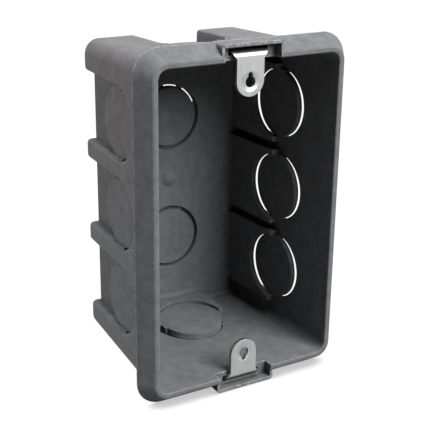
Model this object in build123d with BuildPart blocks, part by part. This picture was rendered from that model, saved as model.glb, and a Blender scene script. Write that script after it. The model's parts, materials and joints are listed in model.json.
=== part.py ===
import os
from math import atan2, degrees, radians, tan

from build123d import *

os.makedirs("parts", exist_ok=True)

# Frame: the mouth lies at y = 0 and looks towards -Y, the back is at +Y and +Z is up.

# Outside of the tub at its mouth, and how far each wall leans in by the back
lip_width = 61.8
lip_height = 99.0
depth = 51.7
side_lean = 2.95
end_lean = 1.7
lip_corner = 4.5
corner_ease = 0.1
wall = 1.6

# Bevelled rim, a thin skirt that flares out behind the lip
rim_flare = 3.8
rim_depth = 5.5
rim_skin = 1.95
rim_edge = 0.4
lip_edge = 0.3

# Knockouts: each disc lies almost along the direction in which the mould opens and hangs on two webs
knockout_hole = 21.6
knockout_web = 5.2
web_reach = 0.8
web_grip = 0.15
web_rise = 1.0
side_disc_slot = 0.15
side_disc_shift = 0.3
side_disc_lean = 0.0
end_disc_slot = 0.4
end_disc_shift = 0.0
end_disc_lean = 1.4
shutoff_gap = 0.35
side_knockout_to_back = 25.4
end_knockout_to_back = 16.7

# Back knockouts: the ring round each disc is wide inside and narrows to a slot outside
back_knockout_z = 20.7
ring_outer = 10.95
ring_inner = 9.5
ring_slot = 0.3
back_web = 2.0
back_web_skin = 0.7
back_web_angle = 65.0

# Bays: the rear half of the wall steps in around each knockout and leaves hollow ribs between
rib_width = 6.0
side_bay_depth = 2.95
end_bay_depth = 3.8
bay_draft = 1.2
rib_round = 1.1
rib_slope = 22.5
rib_cut = 1.4
back_edge = 0.5
hollow_edge = 0.8
floor_round = 1.5
edge_tolerance = 0.01

# Low dome in the middle of the back, inside
button_radius = 2.8
button_waist = 2.0
button_waist_height = 0.46
button_top = 1.0
button_height = 0.8

# Screw lugs of bent sheet steel
screw_spacing = 83.5
screw_hole = 3.2
notch_width = 1.5
notch_reach = 2.7
lug_sheet = 1.2
lug_width = 8.85
lug_tip = 4.2
lug_set_back = 1.6
lug_bend = 0.4
lug_base_width = 11.6
lug_base_length = 8.0
lug_flare = 1.9
lug_shoulder = 0.3
lug_corner = 1.2

# Lug pockets: a recess in the rim under a square hood, and the guide that holds the lug's base
pocket_width = 18.2
pocket_clearance = 0.1
hood_drop = 0.5
hood_skin = 0.85
hood_set_back = 0.3
hood_corner = 1.0
lug_side_clearance = 0.6
lug_top_clearance = 0.8
lug_end_clearance = 0.5
guide_wall = 1.0
guide_chamfer = 0.8

# Places that follow from the sizes above
knockout_radius = knockout_hole / 2
ring_middle = (ring_inner + ring_outer) / 2
side_knockout_y = depth - side_knockout_to_back
end_knockout_y = depth - end_knockout_to_back
rows = [step * (knockout_hole + rib_width) for step in (-1, 0, 1)]
rim_width = lip_width + 2 * rim_flare
rim_height = lip_height + 2 * rim_flare
rim_angle = degrees(atan2(rim_flare, rim_depth))
screw_z = screw_spacing / 2


def side_at(y):
    return lip_width / 2 - side_lean * y / depth


def end_at(y):
    return lip_height / 2 - end_lean * y / depth


pocket_depth = lug_set_back + lug_sheet + lug_bend + pocket_clearance
side_disc = side_at(side_knockout_y - knockout_radius) - wall - shutoff_gap
end_disc = end_at(end_knockout_y - knockout_radius) - wall - shutoff_gap
guide_end = lug_set_back + lug_base_length + lug_end_clearance
lug_seat = end_at(guide_end)
lug_outer = lug_seat + lug_sheet
guide_roof = lug_outer + lug_top_clearance
guide_width = lug_base_width + 2 * lug_side_clearance
hood_outer = rim_height / 2 - hood_drop
hood_inner = hood_outer - hood_skin


# The tub's outside as a tapered block with rounded edges, brought in by inset on every side
def tub(inset, back):
    with BuildPart() as block:
        with BuildSketch(Plane.XY):
            with BuildLine():
                Polyline(
                    (side_at(0) - inset, 0),
                    (side_at(back) - inset, back),
                    (inset - side_at(back), back),
                    (inset - side_at(0), 0),
                    close=True,
                )
            make_face()
        extrude(amount=rim_height / 2, both=True)
        with BuildSketch(Plane.YZ):
            with BuildLine():
                Polyline(
                    (0, end_at(0) - inset),
                    (back, end_at(back) - inset),
                    (back, inset - end_at(back)),
                    (0, inset - end_at(0)),
                    close=True,
                )
            make_face()
        extrude(amount=rim_width / 2, both=True, mode=Mode.INTERSECT)
        long_edges = block.edges().sort_by(lambda edge: edge.bounding_box().size.Y)[-4:]
        fillet(long_edges, lip_corner + corner_ease - inset)
    return block.part


# Wedge that one bay takes out of the wall at +X, made thicker by grow to give that wall's inside
def bay(knockout_y, floor_back, grow):
    width = knockout_hole + 2 * grow
    with BuildPart() as wedge:
        with BuildSketch(Plane.XY.offset(-width / 2)):
            with BuildLine():
                Polyline(
                    (rim_height, knockout_y),
                    (floor_back + bay_draft - grow, knockout_y),
                    (floor_back - grow, depth),
                    (floor_back - grow, depth + wall),
                    (rim_height, depth + wall),
                    close=True,
                )
            make_face()
        extrude(amount=width)
    return wedge.part


# Round hole through the wall at +X
def knockout_opening(knockout_y):
    with BuildPart() as opening:
        with BuildSketch(Plane.YZ):
            with Locations((knockout_y, 0)):
                Circle(knockout_radius)
        extrude(amount=rim_height / 2)
    return opening.part


# Disc that fills that hole, on two webs: its front half lies inside the wall, its rear half outside the bay
def knockout_disc(knockout_y, outer_face, slot, shift, lean):
    face = Plane(
        (outer_face - wall, knockout_y - knockout_radius, 0),
        x_dir=(-lean, knockout_hole, 0),
        z_dir=(knockout_hole, lean, 0),
    )
    with BuildPart() as disc:
        with BuildSketch(face):
            with Locations((knockout_radius + shift, 0)):
                Circle(knockout_radius - slot)
        extrude(amount=wall)
        with BuildSketch(face):
            with Locations((knockout_radius, 0)):
                Circle(knockout_radius + web_grip)
                Rectangle(knockout_web, knockout_hole + 2 * web_grip, mode=Mode.INTERSECT)
                Rectangle(knockout_web, knockout_hole - 2 * web_reach, mode=Mode.SUBTRACT)
        extrude(amount=wall + web_rise)
    return disc.part


# Rounded edge of a bay and its hole in the outer face of the wall at +X, as a flat and a steep slope
def flare(knockout_y, face_at, lean):
    face = Plane((face_at(knockout_y), knockout_y, 0), x_dir=(-lean, depth, 0), z_dir=(-depth, -lean, 0))
    steep_width = rib_round * tan(radians(rib_slope))
    with BuildPart() as cutter:
        for width, slope in ((rib_round, 90 - rib_slope), (steep_width, rib_slope)):
            with BuildSketch(face):
                Circle(knockout_radius + width)
                Rectangle(depth, knockout_hole + 2 * width, align=(Align.MIN, Align.CENTER))
            extrude(amount=rib_cut, taper=slope)
    return cutter.part


# An edge where the floor of a bay meets the back, inside
def is_floor_edge(edge):
    box = edge.bounding_box()
    return box.min.Y > depth - wall - edge_tolerance and max(box.size.X, box.size.Z) > knockout_hole


# Three knockouts stand on each long side and one on each end, turned about the Y axis
side_spots = [Location((0, 0, z), (0, turn, 0)) for z in rows for turn in (0, 180)]
end_spots = [Location((0, 0, 0), (0, turn, 0)) for turn in (-90, 90)]
lug_spots = [Location((0, 0, 0), (0, turn, 0)) for turn in (0, 180)]
side_floor = side_at(depth) - side_bay_depth
end_floor = end_at(depth) - end_bay_depth

# Outside of the tub, with the ribs that the bays leave
with BuildPart() as shell:
    add(tub(0, depth))
    with Locations(side_spots):
        add(bay(side_knockout_y, side_floor, 0), mode=Mode.SUBTRACT)
        add(knockout_opening(side_knockout_y), mode=Mode.SUBTRACT)
        add(flare(side_knockout_y, side_at, side_lean), mode=Mode.SUBTRACT)
    with Locations(end_spots):
        add(bay(end_knockout_y, end_floor, 0), mode=Mode.SUBTRACT)
        add(knockout_opening(end_knockout_y), mode=Mode.SUBTRACT)
        add(flare(end_knockout_y, end_at, end_lean), mode=Mode.SUBTRACT)
    chamfer(shell.faces().sort_by(Axis.Y)[-1].outer_wire().edges(), back_edge)

# Space inside, one wall's thickness from the outside
with BuildPart() as hollow:
    add(tub(wall, depth - wall))
    chamfer(hollow.faces().sort_by(Axis.Y)[-1].edges(), hollow_edge)
    with Locations(side_spots):
        add(bay(side_knockout_y, side_floor, wall), mode=Mode.SUBTRACT)
    with Locations(end_spots):
        add(bay(end_knockout_y, end_floor, wall), mode=Mode.SUBTRACT)
    fillet([edge for edge in hollow.edges() if is_floor_edge(edge)], floor_round)

# Bevelled rim, open behind like a skirt
with BuildPart() as rim:
    with BuildSketch(Plane.XZ.offset(-rim_depth)):
        RectangleRounded(rim_width, rim_height, lip_corner + rim_flare)
    extrude(amount=rim_depth, taper=rim_angle)
    chamfer(rim.faces().sort_by(Axis.Y)[-1].outer_wire().edges(), rim_edge)
    with BuildSketch(Plane.XZ.offset(-rim_depth)):
        RectangleRounded(
            rim_width - 2 * rim_skin,
            rim_height - 2 * rim_skin,
            lip_corner + rim_flare - rim_skin,
        )
    extrude(amount=rim_depth, taper=rim_angle, mode=Mode.SUBTRACT)

# Guide behind the upper lug pocket, which holds the lug's base
with BuildPart() as lug_guide:
    with BuildSketch(Plane.XZ.offset(-pocket_depth)):
        with Locations((0, lug_seat - wall / 2)):
            Rectangle(
                guide_width + 2 * guide_wall,
                guide_roof - lug_seat + wall / 2 + guide_wall,
                align=(Align.CENTER, Align.MIN),
            )
    extrude(amount=pocket_depth - guide_end - guide_wall)
    chamfer(lug_guide.faces().sort_by(Axis.Y)[-1].edges().sort_by(Axis.Z)[-1], guide_chamfer)

# Square hood that stands out of the bevel round the pocket
with BuildPart() as lug_hood:
    with BuildSketch(Plane.XZ.offset(-hood_set_back)):
        with Locations((0, hood_outer)):
            Rectangle(
                pocket_width + 2 * hood_skin,
                hood_outer - end_at(0) + wall / 2,
                align=(Align.CENTER, Align.MAX),
            )
    extrude(amount=hood_set_back - rim_depth + rim_edge)
    fillet(lug_hood.edges().filter_by(Axis.Y).sort_by(Axis.Z)[-2:], hood_corner)

# Recess that the pocket cuts through lip, bevel and hood, and the slot for the lug behind it
with BuildPart() as lug_recess:
    with BuildSketch(Plane.XZ.offset(-pocket_depth)):
        with Locations((0, hood_inner)):
            Rectangle(pocket_width, hood_inner - end_at(0) + 2 * wall, align=(Align.CENTER, Align.MAX))
    extrude(amount=pocket_depth + wall)

with BuildPart() as lug_slot:
    with BuildSketch(Plane.XZ.offset(-pocket_depth + wall)):
        with Locations((0, lug_seat)):
            Rectangle(guide_width, guide_roof - lug_seat, align=(Align.CENTER, Align.MIN))
    extrude(amount=pocket_depth - wall - guide_end)

# Tapered ring round a back knockout, apart from its two thin webs on the outside
with BuildPart() as back_ring:
    with BuildSketch(Plane.XY):
        with BuildLine():
            Polyline(
                (ring_inner, depth - wall),
                (ring_outer, depth - wall),
                (ring_middle + ring_slot / 2, depth),
                (ring_middle - ring_slot / 2, depth),
                close=True,
            )
        make_face()
    revolve(axis=Axis.Y)
    with BuildSketch(Plane.XZ.offset(-depth)):
        Rectangle(2 * knockout_hole, back_web, rotation=back_web_angle)
    extrude(amount=back_web_skin, mode=Mode.SUBTRACT)

with BuildPart() as box_body:
    add(shell.part)
    add(rim.part)
    with Locations(lug_spots):
        add(lug_guide.part)
    add(hollow.part, mode=Mode.SUBTRACT)
    lip = box_body.faces().sort_by(Axis.Y)[0]
    chamfer(lip.edges(), lip_edge)
    with Locations(lug_spots):
        add(lug_hood.part)
        add(lug_recess.part, mode=Mode.SUBTRACT)
        add(lug_slot.part, mode=Mode.SUBTRACT)
    with Locations(side_spots):
        add(knockout_disc(side_knockout_y, side_disc, side_disc_slot, side_disc_shift, side_disc_lean))
    with Locations(end_spots):
        add(knockout_disc(end_knockout_y, end_disc, end_disc_slot, end_disc_shift, end_disc_lean))
    with Locations((0, 0, back_knockout_z), (0, 0, -back_knockout_z)):
        add(back_ring.part, mode=Mode.SUBTRACT)
    with BuildSketch(Plane.XY):
        with BuildLine():
            Polyline(
                (0, depth - wall),
                (button_radius, depth - wall),
                (button_waist, depth - wall - button_waist_height),
                (button_top, depth - wall - button_height),
                (0, depth - wall - button_height),
                close=True,
            )
        make_face()
    revolve(axis=Axis.Y)

box_body.part.label = "box_body"
export_step(box_body.part, "parts/box_body.step")

# L-shaped lug: the base lies in the guide, the tab hangs in the mouth and takes the screw
bend = lug_bend + lug_sheet
tab_back = lug_set_back + lug_sheet
base_end = lug_set_back + lug_base_length
tip_z = screw_z - lug_tip
flare_top = lug_outer - lug_shoulder
with BuildPart() as upper_lug:
    with BuildSketch(Plane.YZ):
        with BuildLine():
            Polyline(
                (lug_set_back, lug_outer - bend),
                (lug_set_back, tip_z),
                (tab_back, tip_z),
                (tab_back, lug_outer - bend),
            )
            RadiusArc((tab_back, lug_outer - bend), (lug_set_back + bend, lug_seat), lug_bend)
            Polyline(
                (lug_set_back + bend, lug_seat),
                (base_end, lug_seat),
                (base_end, lug_outer),
                (lug_set_back + bend, lug_outer),
            )
            RadiusArc((lug_set_back + bend, lug_outer), (lug_set_back, lug_outer - bend), -bend)
        make_face()
    extrude(amount=lug_base_width / 2, both=True)
    with BuildSketch(Plane.XZ):
        with BuildLine():
            round_z = tip_z + lug_width / 2
            ThreePointArc((-lug_width / 2, round_z), (0, tip_z), (lug_width / 2, round_z))
            Polyline(
                (lug_width / 2, round_z),
                (lug_width / 2, flare_top - lug_flare),
                (lug_base_width / 2, flare_top),
                (lug_base_width / 2, lug_outer),
                (-lug_base_width / 2, lug_outer),
                (-lug_base_width / 2, flare_top),
                (-lug_width / 2, flare_top - lug_flare),
                (-lug_width / 2, round_z),
            )
        make_face()
    extrude(amount=-guide_end, mode=Mode.INTERSECT)
    with BuildSketch(Plane.XZ):
        with Locations((0, screw_z)):
            Circle(screw_hole / 2)
        with Locations((0, screw_z + notch_reach / 2)):
            Rectangle(notch_width, notch_reach - notch_width)
        with Locations((0, screw_z + notch_reach - notch_width / 2)):
            Circle(notch_width / 2)
    extrude(amount=-guide_end, mode=Mode.SUBTRACT)
    chamfer(upper_lug.faces().sort_by(Axis.Y)[-1].edges().filter_by(Axis.Z), lug_corner)

upper_lug.part.label = "upper_lug"
export_step(upper_lug.part, "parts/upper_lug.step")

# The lower lug is the same piece turned half way round
with BuildPart() as lower_lug:
    with Locations(lug_spots[1]):
        add(upper_lug.part)

lower_lug.part.label = "lower_lug"
export_step(lower_lug.part, "parts/lower_lug.step")
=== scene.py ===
import json
import math

import bpy
from mathutils import Matrix, Vector


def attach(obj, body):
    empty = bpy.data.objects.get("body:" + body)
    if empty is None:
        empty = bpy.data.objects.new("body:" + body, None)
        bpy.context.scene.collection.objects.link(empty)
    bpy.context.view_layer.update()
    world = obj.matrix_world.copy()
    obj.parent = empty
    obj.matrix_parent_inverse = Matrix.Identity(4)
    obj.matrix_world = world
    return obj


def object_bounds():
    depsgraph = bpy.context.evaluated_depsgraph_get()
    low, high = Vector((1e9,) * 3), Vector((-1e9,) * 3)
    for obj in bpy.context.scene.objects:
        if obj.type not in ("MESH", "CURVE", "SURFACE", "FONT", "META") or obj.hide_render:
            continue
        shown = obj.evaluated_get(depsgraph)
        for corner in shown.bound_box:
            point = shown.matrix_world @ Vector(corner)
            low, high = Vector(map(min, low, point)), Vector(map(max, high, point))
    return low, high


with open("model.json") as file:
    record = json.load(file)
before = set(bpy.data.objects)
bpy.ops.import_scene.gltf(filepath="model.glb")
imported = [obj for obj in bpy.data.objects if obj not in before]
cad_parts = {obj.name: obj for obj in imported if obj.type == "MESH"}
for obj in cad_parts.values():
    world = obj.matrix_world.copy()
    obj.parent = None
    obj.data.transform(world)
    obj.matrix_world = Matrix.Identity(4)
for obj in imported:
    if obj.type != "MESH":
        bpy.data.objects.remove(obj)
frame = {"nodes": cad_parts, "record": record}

mm = 0.001
scene = bpy.context.scene
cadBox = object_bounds()
mounts = {mount["name"]: mount for mount in frame["record"]["mounts"]}
print("frame loaded:", ", ".join(sorted(frame["nodes"])))


# Small helpers for node trees
def newMaterial(name):
    material = bpy.data.materials.new(name)
    material.use_nodes = True
    tree = material.node_tree
    tree.nodes.clear()
    return material, tree


def addNode(tree, kind, **settings):
    node = tree.nodes.new(kind)
    for key, value in settings.items():
        if key in node.inputs:
            node.inputs[key].default_value = value
        else:
            setattr(node, key, value)
    return node


def toneRamp(tree, value, stops):
    ramp = addNode(tree, "ShaderNodeValToRGB")
    for element, (position, colour) in zip(ramp.color_ramp.elements, stops):
        element.position = position
        element.color = colour
    tree.links.new(value, ramp.inputs["Fac"])
    return ramp.outputs["Color"]


# Carry a stretch of values over to another one, held at its ends
def spread(tree, value, source, target, curve="LINEAR"):
    node = addNode(tree, "ShaderNodeMapRange", interpolation_type=curve)
    for name, end in zip(("From Min", "From Max", "To Min", "To Max"), source + target):
        node.inputs[name].default_value = end
    tree.links.new(value, node.inputs["Value"])
    return node.outputs["Result"]


def calculate(tree, operation, *values):
    node = addNode(tree, "ShaderNodeMath", operation=operation)
    for number, value in enumerate(values):
        tree.links.new(value, node.inputs[number])
    return node.outputs["Value"]


def multiply(tree, first, *others):
    for other in others:
        first = calculate(tree, "MULTIPLY", first, other)
    return first


def splitVector(tree, vector):
    node = addNode(tree, "ShaderNodeSeparateXYZ")
    tree.links.new(vector, node.inputs["Vector"])
    return node.outputs


def cloudNoise(tree, place, settings):
    node = addNode(tree, "ShaderNodeTexNoise", **settings)
    tree.links.new(place, node.inputs["Vector"])
    return node.outputs["Fac"]


# Share of rays that meet nothing within reach, sent out from the surface or back into the piece
def openness(tree, reach, samples, inside=False):
    node = addNode(tree, "ShaderNodeAmbientOcclusion", samples=samples, inside=inside, Distance=reach)
    return node.outputs["AO"]


def relief(tree, height, normal, strength, depth):
    node = addNode(tree, "ShaderNodeBump", Strength=strength, Distance=depth)
    tree.links.new(height, node.inputs["Height"])
    tree.links.new(normal, node.inputs["Normal"])
    return node.outputs["Normal"]


# Lay one colour over another where the mask is white
def layOver(tree, mask, under, colour, blend):
    node = addNode(tree, "ShaderNodeMix", data_type="RGBA", blend_type=blend)
    node.inputs["B"].default_value = colour
    tree.links.new(mask, node.inputs["Factor"])
    tree.links.new(under, node.inputs["A"])
    return node.outputs["Result"]


# Grey moulded plastic, a dull satin: cloudy tone, fine grain, soft edges, rim corners lightened by wear and
# painted highlight, painted warm light, and painted shade in bays, corners and grooves
plastic = {
    "tone": ((0.34, (0.0750, 0.0765, 0.0798, 1)), (0.68, (0.1150, 0.1170, 0.1215, 1))),
    "cloud": {"Scale": 260.0, "Detail": 8.0, "Roughness": 0.76},
    "rough": (0.50, 0.62),
    "shine": 0.03,
    "grain": {"Scale": 2600.0, "Detail": 2.0},
    "grainStrength": 0.16,
    "grainDepth": 0.05 * mm,
    "edgeRadius": 0.30 * mm,
    "edgeSamples": 6,
    "openSamples": 8,
    "rimEnd": (6.0 * mm, 8.0 * mm),  # depths between which the wear and painted highlight fade and the painted warm light starts
    "wearAndHighlight": (0.27, 0.273, 0.277, 1),  # outer corners of the rim lightened in patches: part rubbed wear, part painted highlight
    "wearAndHighlightReach": 0.60 * mm,
    "wearAndHighlightCorner": (0.92, 0.56),  # shares of open rays at which the wear and painted highlight start, and at which they are full
    "wearAndHighlightBehind": 0.04,  # share of the wear and painted highlight that is left behind the rim
    "wearAndHighlightNoise": {"Scale": 1700.0, "Detail": 3.0},
    "wearAndHighlightPatch": (0.40, 0.62),
    "middle": (0.0, 20.0 * mm, 0.0),  # faces that look away from this point are on the outside
    "outsideEdge": 2.0 * mm,
    "warmLight": (1.0, 0.94, 0.935, 1),  # painted warm light on the outside, behind the rim and towards the top
    "warmLightHeight": (-8.0 * mm, 26.0 * mm),
    "bayShade": (0.76, 0.76, 0.76, 1),  # painted shade on the floors of the bays in the long sides
    "bayFloor": (26.6 * mm, 27.4 * mm),  # distances to either side of the middle: full painted shade below, none above
    "baySlope": (0.6, 0.8),  # how squarely a face looks sideways before it counts
    "cornerShade": 0.30,  # painted shade: tone left in corners and recesses
    "cornerShadeReach": 7.0 * mm,
    "cornerShadeOpen": (0.12, 0.62),  # shares of open rays at which the painted shade is full, and at which it ends
}


# Rim corners lightened in patches: part rubbed wear, part painted highlight
def wearAndHighlightMask(tree, place, depth):
    thick = openness(tree, plastic["wearAndHighlightReach"], plastic["openSamples"], inside=True)
    thinCorner = spread(tree, thick, plastic["wearAndHighlightCorner"], (0.0, 1.0))  # outer corners are thin
    patch = spread(tree, cloudNoise(tree, place, plastic["wearAndHighlightNoise"]), plastic["wearAndHighlightPatch"], (0.0, 1.0))
    onRim = spread(tree, depth, plastic["rimEnd"], (1.0, plastic["wearAndHighlightBehind"]))
    return multiply(tree, patch, onRim, thinCorner)


def outsideMask(tree, place, normal):
    offset = addNode(tree, "ShaderNodeVectorMath", operation="SUBTRACT")
    offset.inputs[1].default_value = plastic["middle"]
    facing = addNode(tree, "ShaderNodeVectorMath", operation="DOT_PRODUCT")
    tree.links.new(place, offset.inputs[0])
    tree.links.new(offset.outputs["Vector"], facing.inputs[0])
    tree.links.new(normal, facing.inputs[1])
    return spread(tree, facing.outputs["Value"], (0.0, plastic["outsideEdge"]), (0.0, 1.0))


# Painted warm light: outside faces behind the rim, more of it towards the top
def warmLightMask(tree, outside, spot):
    behind = spread(tree, spot["Y"], plastic["rimEnd"], (0.0, 1.0))
    towardsTop = spread(tree, spot["Z"], plastic["warmLightHeight"], (0.0, 1.0))
    return multiply(tree, outside, behind, towardsTop)


# Painted shade on the bay floors: outside faces that look sideways, close to the middle
def bayShadeMask(tree, outside, spot, normal):
    across = calculate(tree, "ABSOLUTE", spot["X"])
    low = spread(tree, across, plastic["bayFloor"], (1.0, 0.0))
    turned = calculate(tree, "ABSOLUTE", splitVector(tree, normal)["X"])
    sideways = spread(tree, turned, plastic["baySlope"], (0.0, 1.0))
    return multiply(tree, low, sideways, outside)


# Painted shade, darker where rays meet the piece close by: corners, recesses and grooves
def addCornerShade(tree, under):
    free = openness(tree, plastic["cornerShadeReach"], plastic["openSamples"])
    shade = spread(tree, free, plastic["cornerShadeOpen"], (plastic["cornerShade"], 1.0))
    node = addNode(tree, "ShaderNodeMix", data_type="RGBA", blend_type="MULTIPLY", Factor=1.0)
    tree.links.new(under, node.inputs["A"])
    tree.links.new(shade, node.inputs["B"])
    return node.outputs["Result"]


def makePlastic():
    material, tree = newMaterial("greyPlastic")
    link = tree.links.new
    output = addNode(tree, "ShaderNodeOutputMaterial")
    shader = addNode(tree, "ShaderNodeBsdfPrincipled")
    shader.inputs["Specular IOR Level"].default_value = plastic["shine"]
    surface = addNode(tree, "ShaderNodeTexCoord").outputs
    place = surface["Object"]
    normal = surface["Normal"]
    spot = splitVector(tree, place)
    cloud = cloudNoise(tree, place, plastic["cloud"])
    outside = outsideMask(tree, place, normal)
    colour = toneRamp(tree, cloud, plastic["tone"])
    # wear and painted highlight on the rim's outer corners
    colour = layOver(tree, wearAndHighlightMask(tree, place, spot["Y"]), colour, plastic["wearAndHighlight"], "MIX")
    # painted warm light over the outside, towards the top
    colour = layOver(tree, warmLightMask(tree, outside, spot), colour, plastic["warmLight"], "MULTIPLY")
    # painted shade on the bay floors
    colour = layOver(tree, bayShadeMask(tree, outside, spot, normal), colour, plastic["bayShade"], "MULTIPLY")
    grain = cloudNoise(tree, place, plastic["grain"])
    edge = addNode(tree, "ShaderNodeBevel", samples=plastic["edgeSamples"], Radius=plastic["edgeRadius"])
    bumpy = relief(tree, grain, edge.outputs["Normal"], plastic["grainStrength"], plastic["grainDepth"])
    # base colour with painted shade in corners and recesses
    link(addCornerShade(tree, colour), shader.inputs["Base Color"])
    link(spread(tree, cloud, (0.0, 1.0), plastic["rough"]), shader.inputs["Roughness"])
    link(bumpy, shader.inputs["Normal"])
    link(shader.outputs["BSDF"], output.inputs["Surface"])
    return material


# Zinc-plated sheet steel: a little blotchy, with fine rolling lines, and drawn in round the screw hole
zinc = {
    "tone": ((0.30, (0.325, 0.33, 0.333, 1)), (0.66, (0.40, 0.405, 0.405, 1))),
    "blotch": {"Scale": 420.0, "Detail": 4.0},
    "rough": (0.30, 0.46),
    "lineScale": (4200.0, 900.0, 300.0),
    "lines": {"Scale": 1.0, "Detail": 3.0},
    "lineStrength": 0.12,
    "lineDepth": 0.02 * mm,
    "edgeRadius": 0.12 * mm,
    "edgeSamples": 6,
    "screwHeight": mounts["lug_screws"]["dims"]["spacing_y_mm"] / 2 * mm,
    "dish": (1.5 * mm, 3.1 * mm),  # distances from the screw between which the sheet is drawn in
    "dishDepth": 0.34 * mm,
}


# Distance from the nearer screw hole, carried over to the height of the drawn edge
def dishHeight(tree, place):
    spot = splitVector(tree, place)
    flat = addNode(tree, "ShaderNodeCombineXYZ")
    away = addNode(tree, "ShaderNodeVectorMath", operation="DISTANCE")
    away.inputs[1].default_value = (0.0, 0.0, zinc["screwHeight"])
    tree.links.new(spot["X"], flat.inputs["X"])
    tree.links.new(calculate(tree, "ABSOLUTE", spot["Z"]), flat.inputs["Z"])
    tree.links.new(flat.outputs["Vector"], away.inputs[0])
    return spread(tree, away.outputs["Value"], zinc["dish"], (0.0, 1.0), "SMOOTHSTEP")


def makeZinc():
    material, tree = newMaterial("zincSteel")
    link = tree.links.new
    output = addNode(tree, "ShaderNodeOutputMaterial")
    shader = addNode(tree, "ShaderNodeBsdfPrincipled", Metallic=1.0)
    place = addNode(tree, "ShaderNodeTexCoord").outputs["Object"]
    stretch = addNode(tree, "ShaderNodeMapping", Scale=zinc["lineScale"])
    link(place, stretch.inputs["Vector"])
    lines = cloudNoise(tree, stretch.outputs["Vector"], zinc["lines"])
    blotch = cloudNoise(tree, place, zinc["blotch"])
    edge = addNode(tree, "ShaderNodeBevel", samples=zinc["edgeSamples"], Radius=zinc["edgeRadius"])
    drawn = relief(tree, dishHeight(tree, place), edge.outputs["Normal"], 1.0, zinc["dishDepth"])
    rolled = relief(tree, lines, drawn, zinc["lineStrength"], zinc["lineDepth"])
    link(toneRamp(tree, lines, zinc["tone"]), shader.inputs["Base Color"])
    link(spread(tree, blotch, (0.0, 1.0), zinc["rough"]), shader.inputs["Roughness"])
    link(rolled, shader.inputs["Normal"])
    link(shader.outputs["BSDF"], output.inputs["Surface"])
    return material


def dress(node, material):
    piece = frame["nodes"][node]
    piece.data.materials.clear()
    piece.data.materials.append(material)
    for polygon in piece.data.polygons:
        polygon.use_smooth = True  # faces of the solid don't share points, so its edges stay crisp


greyPlastic = makePlastic()
dress("box_body", greyPlastic)
zincSteel = makeZinc()
for lug in ("upper_lug", "lower_lug"):
    dress(lug, zincSteel)
print("materials on")


# A skin from rows of points: each row is one section, and the rows follow one another along the skin
def addShadeSkin(name, rows):
    points = [point for row in rows for point in row]
    count = len(rows[0])
    last = len(points) - count
    faces = [tuple(reversed(range(count))), tuple(range(last, len(points)))]
    for first in range(0, last, count):
        for corner in range(count):
            beside = (corner + 1) % count
            faces.append((first + corner, first + beside, first + count + beside, first + count + corner))
    mesh = bpy.data.meshes.new(name + "_shade_skin")
    mesh.from_pydata(points, [], faces)
    mesh.materials.append(greyPlastic)
    piece = bpy.data.objects.new(name + "_shade_skin", mesh)
    scene.collection.objects.link(piece)
    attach(piece, "root")


# Thin sheet in the slot round each back knockout, a painted shade: it closes most of the slot, so the view
# through it meets dark plastic in place of the shade beyond
ringShadeSkin = {
    "inner": 9.95 * mm,
    "outer": 10.55 * mm,
    "thick": 0.25 * mm,
    "below": 0.02 * mm,  # how far it lies under the back face
    "stretch": {  # degrees from +X towards +Z
        "knockout_back_upper": (97, 382),
        "knockout_back_lower": (70, 420),
    },
    "step": 3,
}


def makeRingShadeSkin(name):
    middle = Vector(mounts[name]["pos_m"])
    rear = middle.y - ringShadeSkin["below"]
    front = rear - ringShadeSkin["thick"]
    section = (
        (ringShadeSkin["inner"], front),
        (ringShadeSkin["outer"], front),
        (ringShadeSkin["outer"], rear),
        (ringShadeSkin["inner"], rear),
    )
    start, end = ringShadeSkin["stretch"][name]
    rows = []
    for angle in range(start, end + 1, ringShadeSkin["step"]):
        across = math.cos(math.radians(angle))
        rise = math.sin(math.radians(angle))
        rows.append([(radius * across, y, middle.z + radius * rise) for radius, y in section])
    addShadeSkin(name, rows)


# Thin sheet under the front edge of each end disc, with a narrow shelf that reaches the hole in the wall, a
# painted shade: it closes the slot, so the view through it meets dark plastic in place of the shade under the
# box
endShadeSkin = {
    "names": ("knockout_top_end", "knockout_bottom_end"),
    "inner": 10.12 * mm,
    "outer": 10.42 * mm,
    "grip": 10.95 * mm,
    "disc": 0.55 * mm,  # heights out from the mount: the disc's front edge, then both faces of the shelf
    "shelf": 1.85 * mm,
    "under": 2.10 * mm,
    "lean": 0.065,  # the disc leans in towards the back
    "half": 78,  # degrees to either side of the front
    "step": 3,
}


def makeEndShadeSkin(name):
    middle = Vector(mounts[name]["pos_m"])
    side = math.copysign(1.0, middle.z)
    height = abs(middle.z)
    rows = []
    for angle in range(-endShadeSkin["half"], endShadeSkin["half"] + 1, endShadeSkin["step"]):
        across = math.sin(math.radians(angle))
        ahead = math.cos(math.radians(angle))
        disc = endShadeSkin["disc"] - endShadeSkin["lean"] * endShadeSkin["outer"] * (1.0 - ahead)
        section = (
            (endShadeSkin["inner"], height + disc),
            (endShadeSkin["outer"], height + disc),
            (endShadeSkin["outer"], height + endShadeSkin["shelf"]),
            (endShadeSkin["grip"], height + endShadeSkin["shelf"]),
            (endShadeSkin["grip"], height + endShadeSkin["under"]),
            (endShadeSkin["inner"], height + endShadeSkin["under"]),
        )
        rows.append([(radius * across, middle.y - radius * ahead, side * z) for radius, z in section])
    addShadeSkin(name, rows)


# painted shade: sheets that close the knockout slots
for knockout in ringShadeSkin["stretch"]:
    makeRingShadeSkin(knockout)
for knockout in endShadeSkin["names"]:
    makeEndShadeSkin(knockout)
print("knockout skins made")


# Camera: fitted to the straight edges of the box, seen from the left and above
view = {
    "eye": Vector((-144.93, -225.17, 100.49)) * mm,  # from the middle of the mouth
    "azimuth": math.radians(30.598),
    "elevation": math.radians(20.017),
    "roll": math.radians(0.763),
    "lens": 82.86,
    "sensor": 36.0,
    "near": 0.01,
    "far": 20.0,
}


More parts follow.
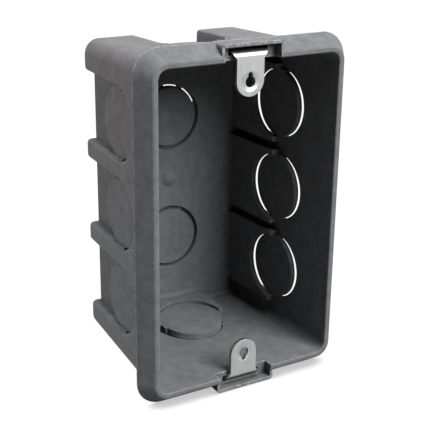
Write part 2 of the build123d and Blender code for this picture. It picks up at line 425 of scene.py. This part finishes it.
def makeCamera():
    data = bpy.data.cameras.new("camera")
    data.lens = view["lens"]
    data.sensor_width = view["sensor"]
    data.clip_start = view["near"]
    data.clip_end = view["far"]
    camera = bpy.data.objects.new("camera", data)
    scene.collection.objects.link(camera)
    flat = math.cos(view["elevation"])
    ahead = Vector((
        math.sin(view["azimuth"]) * flat,
        math.cos(view["azimuth"]) * flat,
        -math.sin(view["elevation"]),
    ))
    level = ahead.cross(Vector((0, 0, 1))).normalized()
    upright = level.cross(ahead)
    right = level * math.cos(view["roll"]) + upright * math.sin(view["roll"])
    up = upright * math.cos(view["roll"]) - level * math.sin(view["roll"])
    turn = Matrix((right, up, -ahead)).transposed()
    camera.matrix_world = Matrix.Translation(view["eye"]) @ turn.to_4x4()
    scene.camera = camera


makeCamera()
print("camera set")


# Rays that see the white of the studio: straight from the camera, or by way of a mirror or glass
def whiteRays(tree):
    path = addNode(tree, "ShaderNodeLightPath").outputs
    glossy = calculate(tree, "MAXIMUM", path["Is Camera Ray"], path["Is Glossy Ray"])
    return calculate(tree, "MAXIMUM", glossy, path["Is Transmission Ray"])


# White sweep under the box with a painted contact shadow: its glow greys where the box comes close to it, and
# it is dull in the light it throws back
floor = {
    "half": 3.0,
    "pale": (0.90, 0.90, 0.90, 1),
    "bounce": (0.18, 0.18, 0.18, 1),
    "glow": (1, 1, 1, 1),
    "white": 0.97,  # share of the sweep that stays white whatever the light
    "contact": 4.5 * mm,
    "contactSamples": 12,
    "contactOpen": (0.30, 0.72),  # shares of open rays at which it is darkest, and at which it is white
    "darkest": 0.55,
}


def makeSweepPaint():
    material, tree = newMaterial("whiteSweep")
    link = tree.links.new
    output = addNode(tree, "ShaderNodeOutputMaterial")
    lit = addNode(tree, "ShaderNodeBsdfDiffuse", Color=floor["pale"])
    bounce = addNode(tree, "ShaderNodeBsdfDiffuse", Color=floor["bounce"])
    glow = addNode(tree, "ShaderNodeEmission", Color=floor["glow"])
    seen = addNode(tree, "ShaderNodeMixShader", Fac=floor["white"])
    mix = addNode(tree, "ShaderNodeMixShader")
    # painted contact shadow: the glow dims where the box is near
    free = openness(tree, floor["contact"], floor["contactSamples"])
    clear = spread(tree, free, floor["contactOpen"], (floor["darkest"], 1.0 / floor["white"]))
    link(clear, glow.inputs["Strength"])
    link(lit.outputs["BSDF"], seen.inputs[1])
    link(glow.outputs["Emission"], seen.inputs[2])
    link(whiteRays(tree), mix.inputs["Fac"])
    link(bounce.outputs["BSDF"], mix.inputs[1])
    link(seen.outputs["Shader"], mix.inputs[2])
    link(mix.outputs["Shader"], output.inputs["Surface"])
    return material


def makeFloor():
    half = floor["half"]
    low = cadBox[0].z
    mesh = bpy.data.meshes.new("sweep")
    corners = [(-half, -half, low), (half, -half, low), (half, half, low), (-half, half, low)]
    mesh.from_pydata(corners, [], [(0, 1, 2, 3)])
    mesh.materials.append(makeSweepPaint())
    sweep = bpy.data.objects.new("sweep", mesh)
    scene.collection.objects.link(sweep)


# Soft round lamps of a small studio: places in metres and powers in watts
studio = {
    "lamps": {
        "frontRight": ((0.31, -0.68, 0.51), 16.4),
        "overhead": ((0.10, -0.36, 0.82), 6.4),
        "top": ((0.0, 0.0, 0.90), 5.2),
        "topRear": ((0.0, 0.54, 0.72), 4.6),
        "leftRear": ((-0.69, 0.52, 0.26), 7.5),
        "rightRear": ((0.59, 0.59, 0.34), 0.8),
    },
    "lampSize": 0.5,
    "aim": Vector((0.0, 20.0, 0.0)) * mm,  # about the middle of the box
    "backdrop": (1, 1, 1, 1),
    "white": 1.0,
    "fill": 0.0,  # light that the backdrop itself sheds on the box
}


def makeLamps():
    for name, (place, power) in studio["lamps"].items():
        data = bpy.data.lights.new(name, "AREA")
        data.shape = "DISK"
        data.size = studio["lampSize"]
        data.energy = power
        holder = bpy.data.objects.new(name, data)
        holder.location = place
        aim = studio["aim"] - holder.location
        holder.rotation_euler = aim.to_track_quat("-Z", "Y").to_euler()
        holder.visible_camera = False
        scene.collection.objects.link(holder)


def makeWorld():
    world = bpy.data.worlds.new("studio")
    scene.world = world
    world.use_nodes = True
    tree = world.node_tree
    tree.nodes.clear()
    output = addNode(tree, "ShaderNodeOutputWorld")
    seen = addNode(tree, "ShaderNodeBackground", Color=studio["backdrop"], Strength=studio["white"])
    light = addNode(tree, "ShaderNodeBackground", Color=studio["backdrop"], Strength=studio["fill"])
    mix = addNode(tree, "ShaderNodeMixShader")
    tree.links.new(whiteRays(tree), mix.inputs["Fac"])
    tree.links.new(light.outputs["Background"], mix.inputs[1])
    tree.links.new(seen.outputs["Background"], mix.inputs[2])
    tree.links.new(mix.outputs["Shader"], output.inputs["Surface"])


makeFloor()
makeLamps()
makeWorld()
scene.view_settings.view_transform = "Standard"
print("floor and lamps set")
